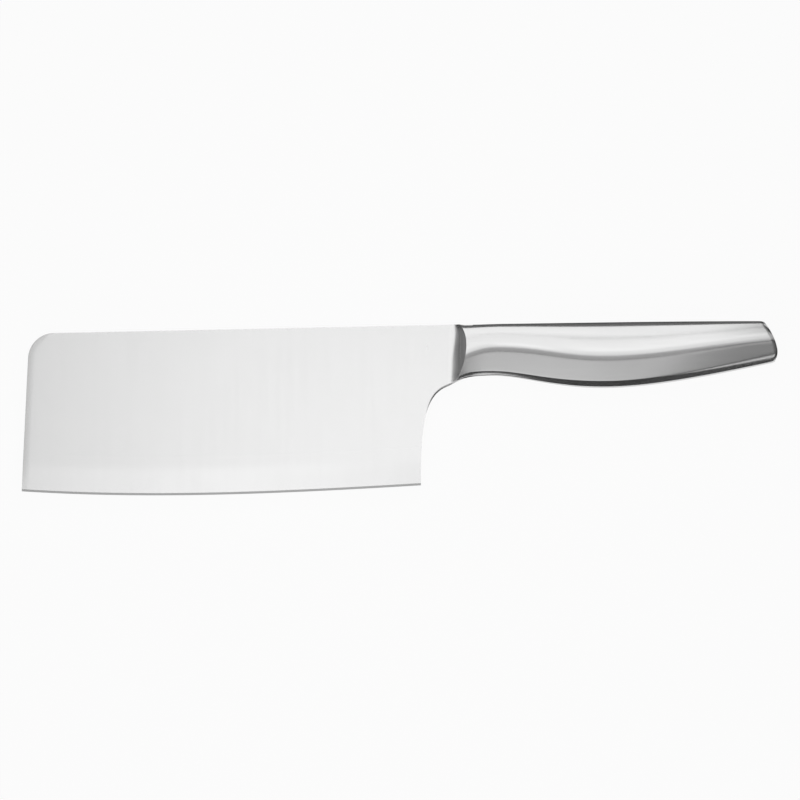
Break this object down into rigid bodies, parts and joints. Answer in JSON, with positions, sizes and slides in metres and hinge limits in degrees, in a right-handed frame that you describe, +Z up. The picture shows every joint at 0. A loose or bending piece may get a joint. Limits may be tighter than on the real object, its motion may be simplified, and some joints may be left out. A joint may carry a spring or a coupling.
{
  "type": "cleaver",
  "caption": "All-steel kitchen cleaver: broad rectangular blade with a shallow curved edge, a hollow-ground bolster and a smooth swelling hollow handle, for chopping and slicing.",
  "frame": {"origin": "middle of the footprint, on the surface that the knife lies on", "axes": "+X from the toe of the blade to the butt of the handle, +Y from the cutting edge to the spine, +Z up through the thickness; the knife lies on its right side"},
  "size_m": [0.3152, 0.0724, 0.0172],
  "materials": {
    "blade_steel": "satin polished stainless steel with a ground edge",
    "handle_steel": "finely polished stainless steel, brushed lengthwise",
    "core_plastic": "moulded, matt, hidden inside",
    "rivet_steel": "plain turned steel, hidden inside",
    "weight_iron": "as cast, hidden inside"
  },
  "bodies": {
    "root": {"blade": "blade_steel", "handle_shell_left": "handle_steel", "handle_shell_right": "handle_steel", "butt_cap": "handle_steel", "handle_core_left": "core_plastic", "handle_core_right": "core_plastic", "tang_rivet_front": "rivet_steel", "tang_rivet_rear": "rivet_steel", "balance_weight": "weight_iron"}
  },
  "joints": []
}
